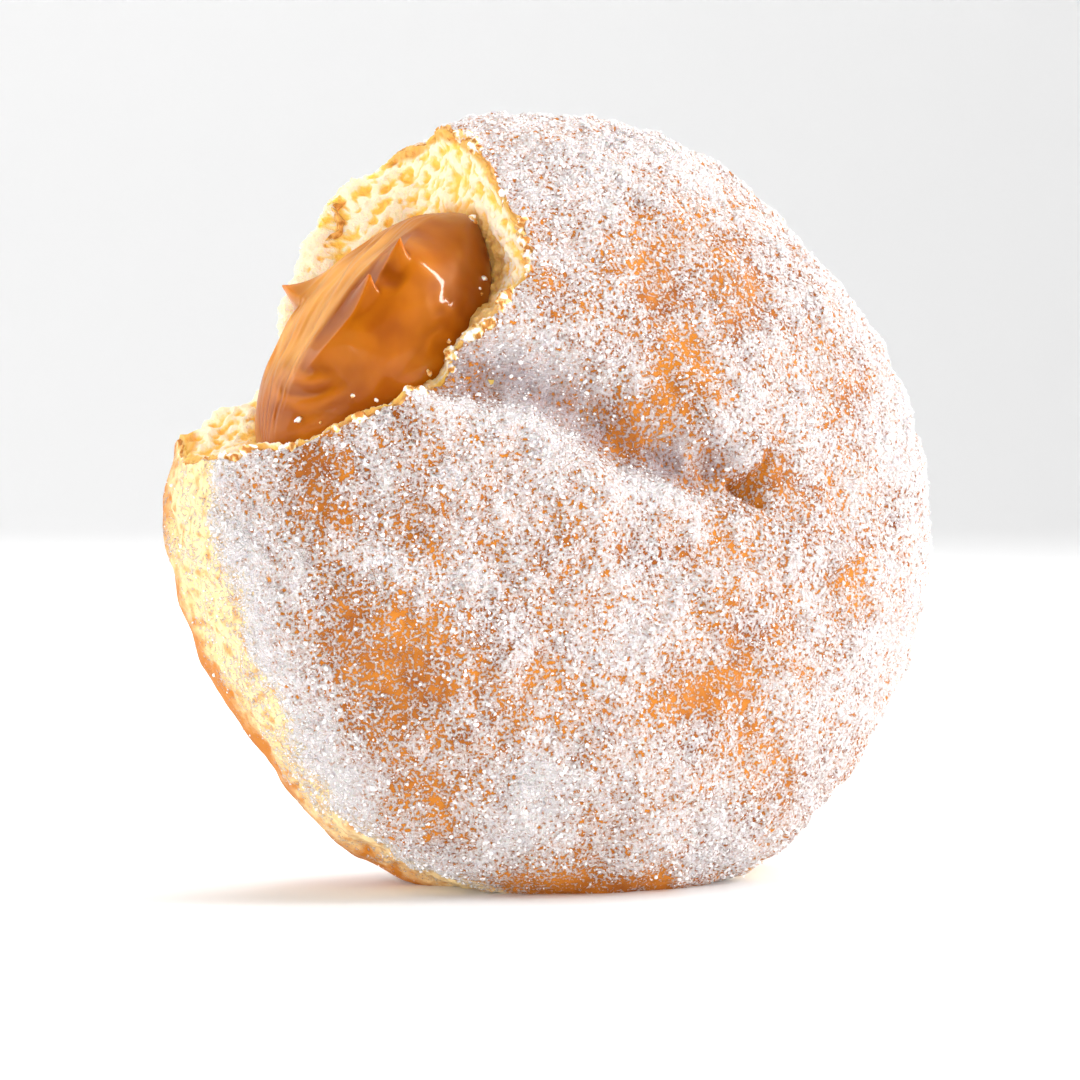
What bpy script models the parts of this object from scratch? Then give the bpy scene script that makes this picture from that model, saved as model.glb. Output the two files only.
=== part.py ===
"""A sugared doughnut filled with milk caramel, with one bite out of it, standing on its rim.

Metres, +Z up. The bun is first made lying in its own axes, X to the right, Y up and Z out of its
front face, with its middle at the origin. It is then stood up, leaning back a little, so that its
weight is over the flat that it has sunk onto.
"""

import math

import bmesh
import bpy
from mathutils import Matrix, Vector, noise

# Driving dimensions of the bun
RIM_RADIUS = 0.0442
FRONT_RISE = 0.0222
BACK_RISE = 0.0212
PLAN_FULLNESS = 0.80
SIDE_FULLNESS = 0.86
# The rim isn't a true circle: waves in a turn, cosine part, sine part
RIM_WAVES = (
    (1, 0.00057, -0.00105),
    (2, -0.00079, -0.00054),
    (3, 0.00013, -0.00007),
    (4, 0.00016, 0.00007),
    (6, 0.00025, 0.00008),
    (7, -0.00023, -0.00014),
)
# Its own weight has pushed the bottom out beside the flat
SAG = 0.0005
SAG_HALF_ANGLE = math.radians(30)
# The bun's middle, set so that the part's origin is the bottom centre of its box
BUN_MIDDLE = Vector((-0.0007, 0.0007, 0.0414))
LEAN = math.radians(12)

# Relief of the crust
WAIST_DEPTH = 0.0006
WAIST_HALF_WIDTH = 0.0035
LUMP_HEIGHT = 0.0009
LUMP_SIZE = 0.012
DRIFT_HEIGHT = 0.0005
DRIFT_SIZE = 0.0055

# The face has sunk along a crease from the bite to a pit right of the middle
CREASE = (
    Vector((-0.0180, 0.0104)),
    Vector((-0.0070, 0.0082)),
    Vector((0.0020, 0.0018)),
    Vector((0.0108, -0.0009)),
)
CREASE_DEPTH = 0.0030
CREASE_HALF_WIDTH = 0.0042
LIP_HEIGHT = 0.0014
LIP_OFFSET = 0.0040
LIP_HALF_WIDTH = 0.0022
PIT_PLACE = Vector((0.0160, -0.0022))
PIT_RADIUS = 0.0018
PIT_DEPTH = 0.0020

# The bite. "out" points from the middle of the bun through it, "along" runs along its chord, and
# "face" is the bun's own Z. Each edge is a few points (along, out): the crust's edge in front, the
# ridge that the teeth left in the crumb, and the crust's edge behind, scalloped by the teeth.
BITE_ANGLE = math.radians(140)
FRONT_EDGE = (
    (-0.0270, 0.0400),
    (-0.0239, 0.0330),
    (-0.0210, 0.0296),
    (-0.0161, 0.0255),
    (-0.0092, 0.0219),
    (-0.0030, 0.0193),
    (0.0060, 0.0196),
    (0.0105, 0.0190),
    (0.0135, 0.0202),
    (0.0164, 0.0240),
    (0.0200, 0.0283),
    (0.0243, 0.0345),
    (0.0270, 0.0420),
)
RIDGE = (
    (-0.0270, 0.0410),
    (-0.0238, 0.0372),
    (-0.0150, 0.0345),
    (-0.0115, 0.0322),
    (-0.0070, 0.0325),
    (0.0007, 0.0368),
    (0.0121, 0.0400),
    (0.0246, 0.0362),
    (0.0280, 0.0420),
)
BACK_EDGE = (
    (-0.0265, 0.0400),
    (-0.0220, 0.0330),
    (-0.0120, 0.0272),
    (-0.0010, 0.0298),
    (0.0100, 0.0268),
    (0.0200, 0.0315),
    (0.0265, 0.0420),
)
RIDGE_FACE = -0.0030
FRONT_EDGE_FACE = 0.0210
BACK_EDGE_FACE = -0.0200
SCOOP_POWER = 3.2
CRAG_HEIGHT = 0.0009
CRAG_SIZE = 0.0048
PORE_DEPTH = 0.0006
PORE_SPACING = 0.0028

# The filling: a pocket in the middle of the bun, and the mound that it pushes out of the bite,
# each given by its middle and radii (along, out, face)
POCKET_MIDDLE = (-0.001, 0.008, 0.001)
POCKET_RADII = (0.0240, 0.0150, 0.0080)
MOUND_MIDDLE = (-0.0010, 0.0250, 0.0060)
MOUND_RADII = (0.0185, 0.0103, 0.0110)
# Towards its upper end the mound's inner side is drawn in
TAPER = 0.0024
TAPER_ENDS = (0.0010, 0.0165)
# The mound's top breaks off in a crest on its outer side, which starts, is full, starts to fade and
# ends at these places along it, and is notched between two spikes
CREST_OUT = 0.0308
CREST_HEIGHT = 0.0026
CREST_ENDS = (-0.0125, -0.0045, 0.0050, 0.0105)
CREST_INNER_SIDE = 0.0080
CREST_OUTER_SIDE = 0.0013
NOTCH_ALONG = 0.0022
NOTCH_DEPTH = 0.0012
NOTCH_HALF_LENGTH = 0.0013
NOTCH_INNER_SIDE = 0.0024
# The spikes, each given by its place (along, out) and how far its back trails along the crest; they
# were pulled in a direction of their own (along, out, face)
SPIKES = ((-0.0007, 0.0309, 0.0036), (0.0048, 0.0306, 0.0042))
SPIKE_HEIGHT = 0.0020
SPIKE_FRONT = 0.0010
SPIKE_HALF_WIDTH = 0.0013
SPIKE_PULL = (0.74, 0.58, 0.34)
# Outside the crest the filling falls away in a hollow slope with long folds down it
SLOPE_HOLLOW = 0.0010
FOLD_HEIGHT = 0.0007
# A torn sheet along the outer edge of the mound, which ends in an upturned tip
SHEET_TIP_ALONG = -0.0018
SHEET_LENGTH = 0.0065
SHEET_UNDERSIDE = 0.0012
SHEET_FACE = 0.0045
SHEET_HALF_WIDTH = 0.0012
SHEET_REACH = 0.0029
SHEET_CURL = 0.0002
SWIRL_MIDDLE = (-0.0098, 0.0312)
SWIRL_PITCH = 0.0027
SWIRL_HEIGHT = 0.0005
SWIRL_RADIUS = 0.0062
CLEARANCE = 0.0003

DOUGH_TRIANGLES = 8000
FILLING_TRIANGLES = 3200

OUT = Vector((math.cos(BITE_ANGLE), math.sin(BITE_ANGLE), 0))
ALONG = Vector((math.sin(BITE_ANGLE), -math.cos(BITE_ANGLE), 0))
FACE = Vector((0, 0, 1))


def from_bite(along, out, face):
    """A point given by its place in the bite, in the bun's own axes."""
    return ALONG * along + OUT * out + FACE * face


def bun_matrix():
    """Carries the bun's own axes into the part's: stood up, leant back, and lifted."""
    stood_up = Matrix.Rotation(math.radians(90) - LEAN, 4, "X")
    return Matrix.Translation(BUN_MIDDLE) @ stood_up


def smooth_step(low, high, value):
    share = min(1.0, max(0.0, (value - low) / (high - low)))
    return share * share * (3 - 2 * share)


def bell(distance, width):
    return math.exp(-((distance / width) ** 2))


def between(points, place):
    """Reads an edge's "out" at a place along it."""
    for (start, low), (end, high) in zip(points, points[1:]):
        if place <= end:
            share = max(0.0, (place - start) / (end - start))
            return low + (high - low) * share
    return points[-1][1]


def rim_radius(angle):
    waves = (c * math.cos(k * angle) + s * math.sin(k * angle) for k, c, s in RIM_WAVES)
    sag = SAG * bell(angle + math.pi / 2, SAG_HALF_ANGLE)
    return RIM_RADIUS + sum(waves) + sag


def bun_point(direction):
    """The smooth bun: a rounded, slightly boxy disc, by the direction from its middle."""
    angle = math.atan2(direction.y, direction.x)
    around = math.hypot(direction.x, direction.y)
    radius = rim_radius(angle) * around**PLAN_FULLNESS
    rise = FRONT_RISE if direction.z > 0 else BACK_RISE
    face = math.copysign(rise * abs(direction.z) ** SIDE_FULLNESS, direction.z)
    return Vector((radius * math.cos(angle), radius * math.sin(angle), face))


def crease_distance(place):
    """Distance of a place on the face from the crease, and from it towards its upper side."""
    nearest, side = math.inf, 0.0
    for start, end in zip(CREASE, CREASE[1:]):
        line = end - start
        share = min(1.0, max(0.0, (place - start).dot(line) / line.length_squared))
        offset = place - start - line * share
        if offset.length < nearest:
            nearest = offset.length
            side = math.copysign(nearest, line.cross(offset))
    return nearest, side


def sunk_depth(point):
    """How far the front has sunk at a point: the crease, its raised lower lip, and the pit."""
    nearest, side = crease_distance(point.xy)
    crease = CREASE_DEPTH * bell(nearest, CREASE_HALF_WIDTH)
    along = smooth_step(0.014, 0.004, point.x)
    lip = LIP_HEIGHT * along * bell(side + LIP_OFFSET, LIP_HALF_WIDTH)
    pit = PIT_DEPTH * bell((point.xy - PIT_PLACE).length, PIT_RADIUS)
    return crease + pit - lip


def crust_relief(point):
    """Height of the crust over the smooth bun: lumps, sugar drifts, and the pinched waist."""
    lumps = LUMP_HEIGHT * noise.noise(point / LUMP_SIZE)
    drifts = DRIFT_HEIGHT * noise.fractal(point / DRIFT_SIZE, 1.0, 2.0, 2)
    waist = WAIST_DEPTH * bell(point.z, WAIST_HALF_WIDTH)
    return lumps + drifts - waist


def new_object(name, bm, colour, roughness):
    """A named object of a bmesh, with its own material."""
    bmesh.ops.triangulate(bm, faces=bm.faces)
    mesh = bpy.data.meshes.new(name)
    bm.to_mesh(mesh)
    bm.free()
    mesh.shade_smooth()
    material = bpy.data.materials.new(name)
    material.use_nodes = True
    shader = material.node_tree.nodes["Principled BSDF"]
    shader.inputs["Base Color"].default_value = (*colour, 1)
    shader.inputs["Roughness"].default_value = roughness
    shader.inputs["Metallic"].default_value = 0
    mesh.materials.append(material)
    obj = bpy.data.objects.new(name, mesh)
    bpy.context.scene.collection.objects.link(obj)
    return obj


def apply_modifiers(obj):
    """Replaces the object's mesh by what its modifiers make of it."""
    graph = bpy.context.evaluated_depsgraph_get()
    made = bpy.data.meshes.new_from_object(obj.evaluated_get(graph))
    obj.modifiers.clear()
    obj.data = made


def boolean(obj, other, operation):
    """Joins or cuts an object by another, which is then removed."""
    modifier = obj.modifiers.new(operation.title(), "BOOLEAN")
    modifier.operation = operation
    modifier.object = other
    modifier.solver = "EXACT"
    apply_modifiers(obj)
    bpy.data.objects.remove(other)


def thin_out(obj, triangles):
    """Keeps about this many triangles, most of them where the surface is rough."""
    count = sum(len(polygon.vertices) - 2 for polygon in obj.data.polygons)
    modifier = obj.modifiers.new("Thin out", "DECIMATE")
    modifier.ratio = min(1.0, triangles / count)
    modifier.use_collapse_triangulate = True
    apply_modifiers(obj)


def make_bun():
    """The whole bun with the relief of its crust, stood up."""
    bm = bmesh.new()
    bmesh.ops.create_icosphere(bm, subdivisions=6, radius=1)
    for vertex in bm.verts:
        vertex.co = bun_point(vertex.co)
    bm.normal_update()
    for vertex in bm.verts:
        front = smooth_step(0.004, 0.018, vertex.co.z)
        vertex.co += vertex.normal * crust_relief(vertex.co) - FACE * front * sunk_depth(vertex.co)
    bm.transform(bun_matrix())
    return new_object("dough", bm, (0.80, 0.62, 0.42), 0.85)


def bite_out(along, face):
    """How far out from the middle the bitten crumb reaches, at a place on the bite."""
    ridge = between(RIDGE, along)
    if face > RIDGE_FACE:
        share = min(1.0, (face - RIDGE_FACE) / (FRONT_EDGE_FACE - RIDGE_FACE))
        scoop = 1 - (1 - share) ** SCOOP_POWER
        return ridge + (between(FRONT_EDGE, along) - ridge) * scoop
    share = min(1.0, (RIDGE_FACE - face) / (RIDGE_FACE - BACK_EDGE_FACE))
    return ridge + (between(BACK_EDGE, along) - ridge) * share


def crumb_relief(point):
    """Torn crumb: crags, with open pores between them."""
    crags = CRAG_HEIGHT * noise.fractal(point / CRAG_SIZE, 0.9, 2.0, 2)
    nearest = noise.voronoi(point / PORE_SPACING)[0][0]
    return crags - PORE_DEPTH * smooth_step(0.45, 0.10, nearest)


def make_bite():
    """The bitten space as a closed block, whose inner side is the torn crumb."""
    half_along, low_face, high_face, far_out = 0.032, -0.027, 0.029, 0.060
    bm = bmesh.new()
    bmesh.ops.create_grid(bm, x_segments=60, y_segments=54, size=1)
    for vertex in bm.verts:
        along = half_along * vertex.co.x
        face = low_face + (high_face - low_face) * (vertex.co.y + 1) / 2
        vertex.co = from_bite(along, bite_out(along, face), face)
    bm.normal_update()
    for vertex in bm.verts:
        vertex.co -= vertex.normal * crumb_relief(vertex.co)
    wall = bmesh.ops.extrude_face_region(bm, geom=bm.faces[:])
    for item in wall["geom"]:
        if isinstance(item, bmesh.types.BMVert):
            item.co += OUT * (far_out - item.co.dot(OUT))
    bmesh.ops.recalc_face_normals(bm, faces=bm.faces)
    bm.transform(bun_matrix())
    return new_object("bite", bm, (0.95, 0.80, 0.45), 0.8)


def ellipsoid(name, middle, radii, subdivisions, shape=None):
    """An ellipsoid along the bite's directions, which a shape function may then move."""
    bm = bmesh.new()
    bmesh.ops.create_icosphere(bm, subdivisions=subdivisions, radius=1)
    for vertex in bm.verts:
        unit = vertex.co.copy()
        place = [middle[axis] + radii[axis] * unit[axis] for axis in range(3)]
        if shape:
            place = shape(unit, *place)
        vertex.co = from_bite(*place)
    bmesh.ops.recalc_face_normals(bm, faces=bm.faces)
    bm.transform(bun_matrix())
    return new_object(name, bm, (0.60, 0.28, 0.07), 0.25)


def crest_height(along, out):
    """The crest's height over the mound: long on its inner side and steep on its outer."""
    from_line = out - CREST_OUT
    start, full, fading, end = CREST_ENDS
    height = CREST_HEIGHT * smooth_step(start, full, along) * smooth_step(end, fading, along)
    side = CREST_INNER_SIDE if from_line < 0 else CREST_OUTER_SIDE
    height *= max(0.0, 1 - abs(from_line) / side) ** 1.3
    notch = NOTCH_DEPTH * bell(along - NOTCH_ALONG, NOTCH_HALF_LENGTH)
    return height - notch * max(0.0, 1 - abs(from_line) / NOTCH_INNER_SIDE)


def spike_height(along, out):
    """How far the filling was pulled up here, in the spikes' direction."""
    highest = 0.0
    for peak, line, back in SPIKES:
        run = (along - peak) / (SPIKE_FRONT if along > peak else back)
        across = (out - line) / SPIKE_HALF_WIDTH
        highest = max(highest, SPIKE_HEIGHT * max(0.0, 1 - math.hypot(run, across)) ** 1.5)
    return highest


def swirl_height(along, out):
    """A spiral fold round the mound's lower end, where the filling was stirred."""
    away = (along - SWIRL_MIDDLE[0], out - SWIRL_MIDDLE[1])
    radius = math.hypot(*away)
    turned = math.atan2(away[1], away[0])
    ripple = 0.5 + 0.5 * math.cos(2 * math.pi * radius / SWIRL_PITCH - turned)
    inside = smooth_step(SWIRL_RADIUS, 0.5 * SWIRL_RADIUS, radius)
    lower_side = smooth_step(0.0005, -0.0020, away[0])
    return SWIRL_HEIGHT * ripple * inside * lower_side


def sheet_reach(along, face):
    """How far the torn sheet stands out of the mound's outer edge."""
    past_tip = along - SHEET_TIP_ALONG
    if past_tip < 0:
        length = max(0.0, 1 + past_tip / SHEET_UNDERSIDE) ** 1.8
    else:
        length = max(0.0, 1 - past_tip / SHEET_LENGTH) ** 2.2
    return SHEET_REACH * length * bell(face - SHEET_FACE, SHEET_HALF_WIDTH)


def slope_depth(unit, along):
    """How deep the slope outside the crest is hollowed, with its long folds."""
    across = math.atan2(unit.z, unit.y) / math.radians(42)
    if not 0 < across < 1:
        return 0.0
    length = smooth_step(-0.0135, -0.0070, along) * smooth_step(0.0125, 0.0060, along)
    folds = noise.noise(Vector((along / 0.011, 2.7 * across + along / 0.009, 0.4)))
    hollow = SLOPE_HOLLOW - FOLD_HEIGHT * (0.35 - abs(folds)) * 2
    return length * math.sin(math.pi * across) ** 0.7 * hollow


def mound_shape(unit, along, out, face):
    """Gives the mound its crest, spikes, swirl, hollow slope and torn sheet."""
    front = smooth_step(-0.1, 0.5, unit.z)
    outer = smooth_step(0.3, 0.8, unit.y)
    raised = front * (crest_height(along, out) + swirl_height(along, out))
    pulled = front * spike_height(along, out)
    hollow = slope_depth(unit, along)
    reach = outer * sheet_reach(along, face)
    drawn_in = TAPER * smooth_step(*TAPER_ENDS, along) * smooth_step(0.5, -0.4, unit.y)
    return (
        along + SPIKE_PULL[0] * pulled + SHEET_CURL * (reach / SHEET_REACH) ** 2,
        out + SPIKE_PULL[1] * pulled + reach + drawn_in - 0.75 * hollow,
        face + SPIKE_PULL[2] * pulled + raised - 0.66 * hollow,
    )


def make_filling():
    """The filling as one solid: its pocket in the bun and the mound in the bite."""
    filling = ellipsoid("filling", MOUND_MIDDLE, MOUND_RADII, 6, mound_shape)
    boolean(filling, ellipsoid("pocket", POCKET_MIDDLE, POCKET_RADII, 4), "UNION")
    thin_out(filling, FILLING_TRIANGLES)
    return filling


def swollen_copy(obj, name, by):
    """A copy whose surface stands this far outside the object's."""
    bm = bmesh.new()
    bm.from_mesh(obj.data)
    bm.normal_update()
    for vertex in bm.verts:
        vertex.co += vertex.normal * by * min(vertex.calc_shell_factor(), 2.0)
    return new_object(name, bm, (0.60, 0.28, 0.07), 0.25)


def sit_flat(obj):
    """Cuts off what would be under the surface that the doughnut stands on."""
    bm = bmesh.new()
    bm.from_mesh(obj.data)
    cut = bmesh.ops.bisect_plane(
        bm,
        geom=[*bm.verts, *bm.edges, *bm.faces],
        plane_co=(0, 0, 0),
        plane_no=(0, 0, -1),
        clear_outer=True,
    )
    edges = [item for item in cut["geom_cut"] if isinstance(item, bmesh.types.BMEdge)]
    bmesh.ops.holes_fill(bm, edges=edges)
    bmesh.ops.triangulate(bm, faces=bm.faces)
    bm.to_mesh(obj.data)
    bm.free()


def main():
    for obj in list(bpy.data.objects):
        bpy.data.objects.remove(obj)
    filling = make_filling()
    dough = make_bun()
    boolean(dough, make_bite(), "DIFFERENCE")
    thin_out(dough, DOUGH_TRIANGLES)
    boolean(dough, swollen_copy(filling, "cavity", CLEARANCE), "DIFFERENCE")
    sit_flat(dough)


main()
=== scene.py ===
"""The looks of a sugared doughnut filled with milk caramel, bitten, standing on its rim.

Metres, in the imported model's frame. Forms are made in the bun's own axes (X right, Y up, Z out of
its front face, origin at its middle) and then stood up as the solids are.
"""

import math

import bmesh
import bpy
import numpy as np
from mathutils import Matrix, Vector, noise


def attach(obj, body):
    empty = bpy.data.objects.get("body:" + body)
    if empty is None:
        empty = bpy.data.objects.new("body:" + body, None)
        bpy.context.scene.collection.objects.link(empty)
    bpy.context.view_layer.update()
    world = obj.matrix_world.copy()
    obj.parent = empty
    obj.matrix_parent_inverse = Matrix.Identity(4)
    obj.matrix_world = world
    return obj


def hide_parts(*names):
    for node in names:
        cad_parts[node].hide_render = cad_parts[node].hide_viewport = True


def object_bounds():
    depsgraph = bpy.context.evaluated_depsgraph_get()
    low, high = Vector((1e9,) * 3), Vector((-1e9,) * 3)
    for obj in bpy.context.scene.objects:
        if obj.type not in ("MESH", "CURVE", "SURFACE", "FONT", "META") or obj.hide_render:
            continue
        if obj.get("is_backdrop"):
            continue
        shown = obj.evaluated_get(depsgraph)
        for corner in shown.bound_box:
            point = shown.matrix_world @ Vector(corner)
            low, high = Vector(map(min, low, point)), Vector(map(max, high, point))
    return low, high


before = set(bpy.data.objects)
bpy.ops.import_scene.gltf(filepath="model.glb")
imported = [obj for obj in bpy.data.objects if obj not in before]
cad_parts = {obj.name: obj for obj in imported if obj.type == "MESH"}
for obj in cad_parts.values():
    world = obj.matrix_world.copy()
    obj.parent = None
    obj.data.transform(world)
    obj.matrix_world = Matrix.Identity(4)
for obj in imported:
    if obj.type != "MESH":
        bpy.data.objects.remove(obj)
cad_low, cad_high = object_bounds()

# The crust
# A ball of yeast dough fried on each side in turn: brown on both faces, pale round the waist where
# it floated. It has sagged onto a flat, sunk along a crease, and been dusted with powdered sugar.
# It is made as a front and a back half that meet at the waist, each a closed piece.
RIM_RADIUS = 0.0442
FRONT_RISE = 0.0222
BACK_RISE = 0.0212
PLAN_FULLNESS = 0.80
SIDE_FULLNESS = 0.86
RIM_WAVES = (
    (1, 0.00057, -0.00105),
    (2, -0.00079, -0.00054),
    (3, 0.00013, -0.00007),
    (4, 0.00016, 0.00007),
    (6, 0.00025, 0.00008),
    (7, -0.00023, -0.00014),
)
SAG = 0.0005
SAG_HALF_ANGLE = math.radians(30)
BUN_MIDDLE = Vector((-0.0007, 0.0007, 0.0414))
LEAN = math.radians(12)

WAIST_DEPTH = 0.0006
WAIST_HALF_WIDTH = 0.0035
LUMP_HEIGHT = 0.0009
LUMP_SIZE = 0.012
DRIFT_HEIGHT = 0.0005
DRIFT_SIZE = 0.0055

CREASE = (
    Vector((-0.0180, 0.0104)),
    Vector((-0.0070, 0.0082)),
    Vector((0.0020, 0.0018)),
    Vector((0.0108, -0.0009)),
)
CREASE_DEPTH = 0.0030
CREASE_HALF_WIDTH = 0.0042
LIP_HEIGHT = 0.0014
LIP_OFFSET = 0.0040
LIP_HALF_WIDTH = 0.0022
PIT_PLACE = Vector((0.0160, -0.0022))
PIT_RADIUS = 0.0018
PIT_DEPTH = 0.0020
# A crack through the pit, and the low step where the crease's sugar has slipped
CRACKS = (
    (Vector((0.0144, -0.0018)), Vector((0.0173, -0.0041))),
    (Vector((0.0158, -0.0026)), Vector((0.0186, 0.0009))),
)
CRACK_DEPTH = 0.0009
CRACK_HALF_WIDTH = 0.0005
STEP_EDGE = (
    Vector((-0.0124, 0.0103)),
    Vector((-0.0084, 0.0099)),
    Vector((-0.0068, 0.0104)),
    Vector((-0.0044, 0.0113)),
    Vector((-0.0011, 0.0114)),
)
STEP_HEIGHT = 0.0006
STEP_FADE = 0.0040

# The crease, its lip, the cracks and the pit all lie this near the face's middle
FACE_MIDDLE_RADIUS = 0.022

# The pale band round the waist, on the front's side: its least width, and how much wider it is on
# the bitten side, at an angle and over an angle each way in degrees
BAND_WIDTH = 0.0028
BAND_SWELL = 0.0078
BAND_WIDEST_ANGLE = 190
BAND_HALF_ANGLE = 55
BAND_WOBBLE = 0.0016
BAND_WOBBLE_SIZE = 0.004

# How much sugar there is by itself, the size and depth of its drifts, and where there is more of it
SUGAR_COVER = 0.69
SUGAR_DRIFTS = ((0.0085, 0.24), (0.0034, 0.24))
# More sugar towards the right and on the upper right rim, which also stands in as painted light there
RIGHT_SIDE_SUGAR_AND_LIGHT = 0.08
RIM_SUGAR_AND_LIGHT = 0.22
BAND_EDGE_SUGAR = 0.50
# More sugar along the crease's lower lip, which also stands in as painted light on that crest
LIP_SUGAR_AND_LIGHT = 0.30
LEAST_SUGAR = 0.37
# Within this distance of the face's middle, the sugar down in the crease is greyed with painted shade
SHADED_CREASE_RADIUS = 0.024
# Places on the face where the sugar lies thin (below 0) or thick (above 0): x, y, radius, change.
# The strength scales every change.
PLACES_STRENGTH = 0.80
SUGAR_PLACES = (
    (-0.0239, -0.0185, 0.0068, -0.62),
    (-0.0218, -0.0350, 0.0046, -0.65),
    (-0.0351, -0.0025, 0.0050, -0.40),
    (-0.0300, 0.0010, 0.0035, -0.25),
    (0.0050, 0.0050, 0.0026, -0.60),
    (0.0025, 0.0030, 0.0016, -0.30),
    (0.0072, 0.0172, 0.0034, -0.35),
    (0.0070, 0.0228, 0.0030, -0.45),
    (0.0167, 0.0180, 0.0038, -0.35),
    (0.0105, 0.0095, 0.0040, -0.25),
    (0.0117, -0.0239, 0.0030, -0.45),
    (0.0200, 0.0010, 0.0036, -0.25),
    (0.0321, -0.0106, 0.0046, -0.20),
    (-0.0073, -0.0124, 0.0034, -0.35),
    (-0.0010, -0.0010, 0.0020, -0.20),
    (0.0060, -0.0250, 0.0028, -0.35),
    (0.0150, -0.0330, 0.0040, -0.25),
    (-0.0120, -0.0220, 0.0030, -0.20),
    (0.0000, -0.0206, 0.0040, 0.35),
    (0.0017, -0.0302, 0.0034, 0.40),
    (-0.0093, -0.0351, 0.0050, 0.70),
    (0.0062, -0.0396, 0.0050, 0.35),
    (0.0034, 0.0290, 0.0055, 0.25),
    (0.0144, -0.0400, 0.0060, 0.45),
    (-0.0060, 0.0070, 0.0050, 0.40),
    (-0.0085, 0.0130, 0.0055, 0.45),
    (0.0050, -0.0020, 0.0050, 0.30),
    (-0.0290, -0.0340, 0.0060, 0.30),
    (0.0020, 0.0340, 0.0080, 0.20),
    (-0.0240, -0.0110, 0.0040, 0.25),
    (-0.0140, -0.0450, 0.0050, -0.60),
    (-0.0040, -0.0460, 0.0050, -0.60),
    (0.0060, -0.0460, 0.0050, -0.60),
)
# The powder's strands and heaps, and the flaked skin and brown flecks of the waist
POWDER_SIZE = 0.0011
POWDER_HEIGHT = 0.00044
HEAP_SIZE = 0.0027
FLAKE_SIZE = 0.0042
FLECK_SIZE = 0.0011
SHELL_SUBDIVISIONS = 8


def bun_matrix():
    """Carries the bun's own axes into the part's: stood up, leant back, and lifted."""
    stood_up = Matrix.Rotation(math.radians(90) - LEAN, 4, "X")
    return Matrix.Translation(BUN_MIDDLE) @ stood_up


def smooth_step(low, high, value):
    share = min(1.0, max(0.0, (value - low) / (high - low)))
    return share * share * (3 - 2 * share)


def bell(distance, width):
    return math.exp(-((distance / width) ** 2))


def rim_radius(angle):
    waves = (c * math.cos(k * angle) + s * math.sin(k * angle) for k, c, s in RIM_WAVES)
    sag = SAG * bell(angle + math.pi / 2, SAG_HALF_ANGLE)
    return RIM_RADIUS + sum(waves) + sag


def bun_point(direction):
    """The smooth bun: a rounded, slightly boxy disc, by the direction from its middle."""
    angle = math.atan2(direction.y, direction.x)
    around = math.hypot(direction.x, direction.y)
    radius = rim_radius(angle) * around**PLAN_FULLNESS
    rise = FRONT_RISE if direction.z > 0 else BACK_RISE
    face = math.copysign(rise * abs(direction.z) ** SIDE_FULLNESS, direction.z)
    return Vector((radius * math.cos(angle), radius * math.sin(angle), face))


def line_distance(line, place):
    """Distance of a place on the face from a line of points, and the same towards its left."""
    nearest, side = math.inf, 0.0
    for start, end in zip(line, line[1:]):
        run = end - start
        share = min(1.0, max(0.0, (place - start).dot(run) / run.length_squared))
        offset = place - start - run * share
        if offset.length < nearest:
            nearest = offset.length
            side = math.copysign(nearest, run.cross(offset))
    return nearest, side


def sunk_depth(point):
    """How far the front has sunk at a point: the crease, its raised lower lip, and the pit."""
    nearest, side = line_distance(CREASE, point.xy)
    crease = CREASE_DEPTH * bell(nearest, CREASE_HALF_WIDTH)
    along = smooth_step(0.014, 0.004, point.x)
    lip = LIP_HEIGHT * along * bell(side + LIP_OFFSET, LIP_HALF_WIDTH)
    pit = PIT_DEPTH * bell((point.xy - PIT_PLACE).length, PIT_RADIUS)
    return crease + pit - lip


def crust_relief(point):
    """Height of the crust over the smooth bun: lumps, sugar drifts, and the pinched waist."""
    lumps = LUMP_HEIGHT * noise.noise(point / LUMP_SIZE)
    drifts = DRIFT_HEIGHT * noise.fractal(point / DRIFT_SIZE, 1.0, 2.0, 2)
    waist = WAIST_DEPTH * bell(point.z, WAIST_HALF_WIDTH)
    return lumps + drifts - waist


def crack_share(point):
    nearest = min(line_distance(crack, point.xy)[0] for crack in CRACKS)
    return bell(nearest, CRACK_HALF_WIDTH)


def slipped_depth(point):
    """The low step in the crease's sugar, sharp at its edge and fading below it."""
    nearest, side = line_distance(STEP_EDGE, point.xy)
    below = smooth_step(0.0002, -0.0002, side) * smooth_step(STEP_FADE, 0.0, nearest)
    return STEP_HEIGHT * below


def cap_edge(point):
    """How far forward the pale band of the waist reaches: widest on the bitten side."""
    angle = math.degrees(math.atan2(point.y, point.x)) % 360
    return BAND_WIDTH + BAND_SWELL * bell(angle - BAND_WIDEST_ANGLE, BAND_HALF_ANGLE)


def ragged_face(point):
    """How far forward a point lies, made uneven so that the band's edge isn't a clean line."""
    return point.z + BAND_WOBBLE * noise.noise(point / BAND_WOBBLE_SIZE)


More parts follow.
